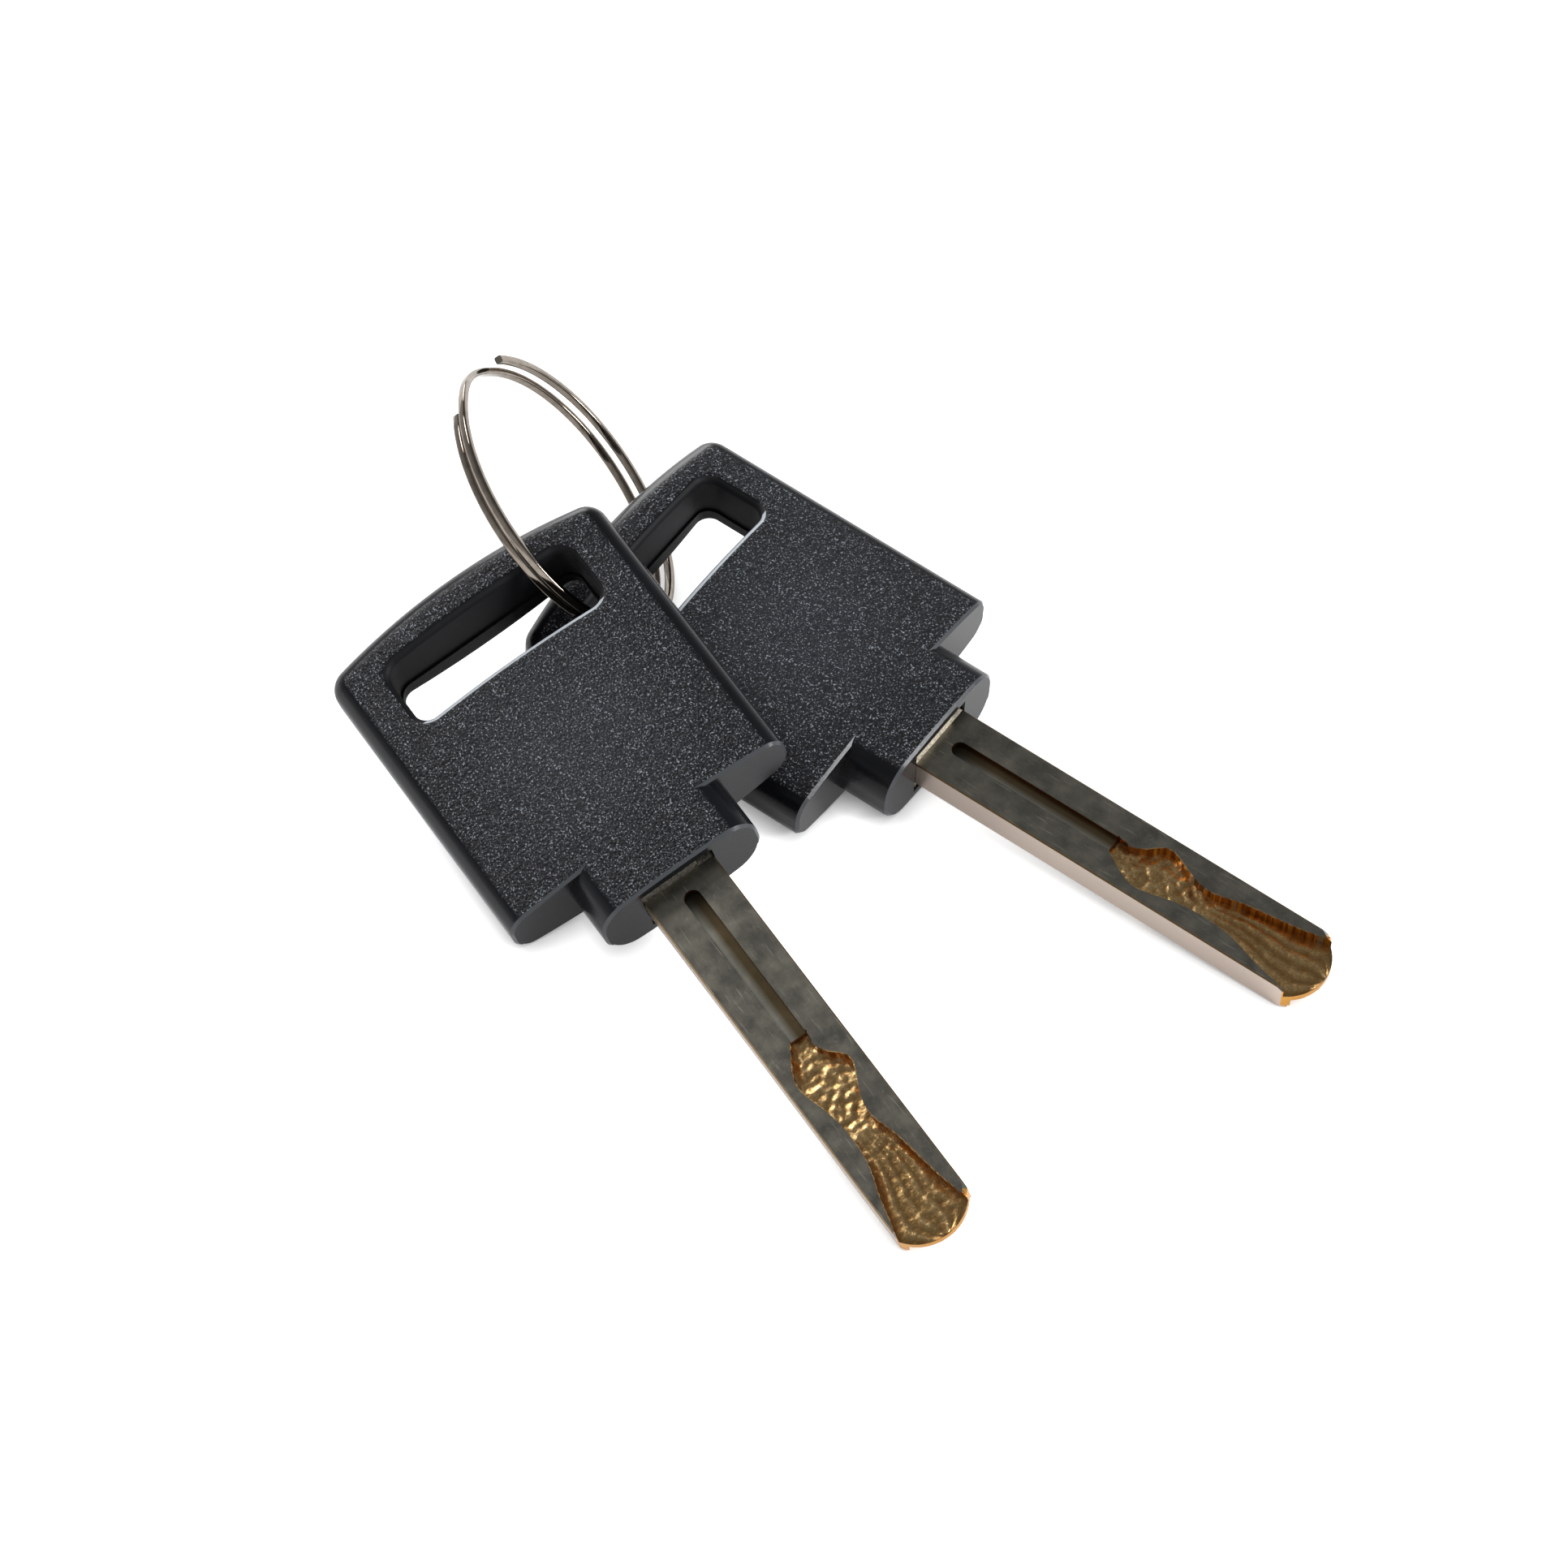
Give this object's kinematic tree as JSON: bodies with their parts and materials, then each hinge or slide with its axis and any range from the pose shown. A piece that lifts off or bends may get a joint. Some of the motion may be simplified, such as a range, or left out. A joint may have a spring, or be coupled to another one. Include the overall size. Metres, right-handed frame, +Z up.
{
  "type": "pair of lock keys on a split ring",
  "caption": "Two identical lock keys with slotted plastic bows and milled blades, hung together on a split wire ring.",
  "frame": {"origin": "centre of the bottom of the box round the set, on the table it lies on", "axes": "+Z up from the table, +X halves the angle between the two blades and points the way they point, +Y to the left of that"},
  "size_m": [0.0876, 0.0526, 0.0211],
  "materials": {
    "black_plastic": "spark-eroded grain",
    "plated_brass": "nickel plated, brass showing in the milled track",
    "nickel_wire": "polished nickel"
  },
  "bodies": {
    "far_key": {"far_key_front_shell": "black_plastic", "far_key_back_shell": "black_plastic", "far_key_blade": "plated_brass"},
    "near_key": {"near_key_front_shell": "black_plastic", "near_key_back_shell": "black_plastic", "near_key_blade": "plated_brass"},
    "split_ring": {"split_ring": "nickel_wire"}
  },
  "joints": [
    {"name": "ring_spin", "type": "hinge", "parent": "far_key", "child": "split_ring", "pos_m": [-0.03182, 0.00527, 0.01072], "axis": [0.4477, 0.5792, 0.6812], "continuous": true},
    {"name": "near_key_swing", "type": "hinge", "parent": "far_key", "child": "near_key", "pos_m": [-0.03182, 0.00527, 0.01072], "axis": [-0.4477, -0.5792, -0.6812], "range_deg": [0, 120]}
  ]
}
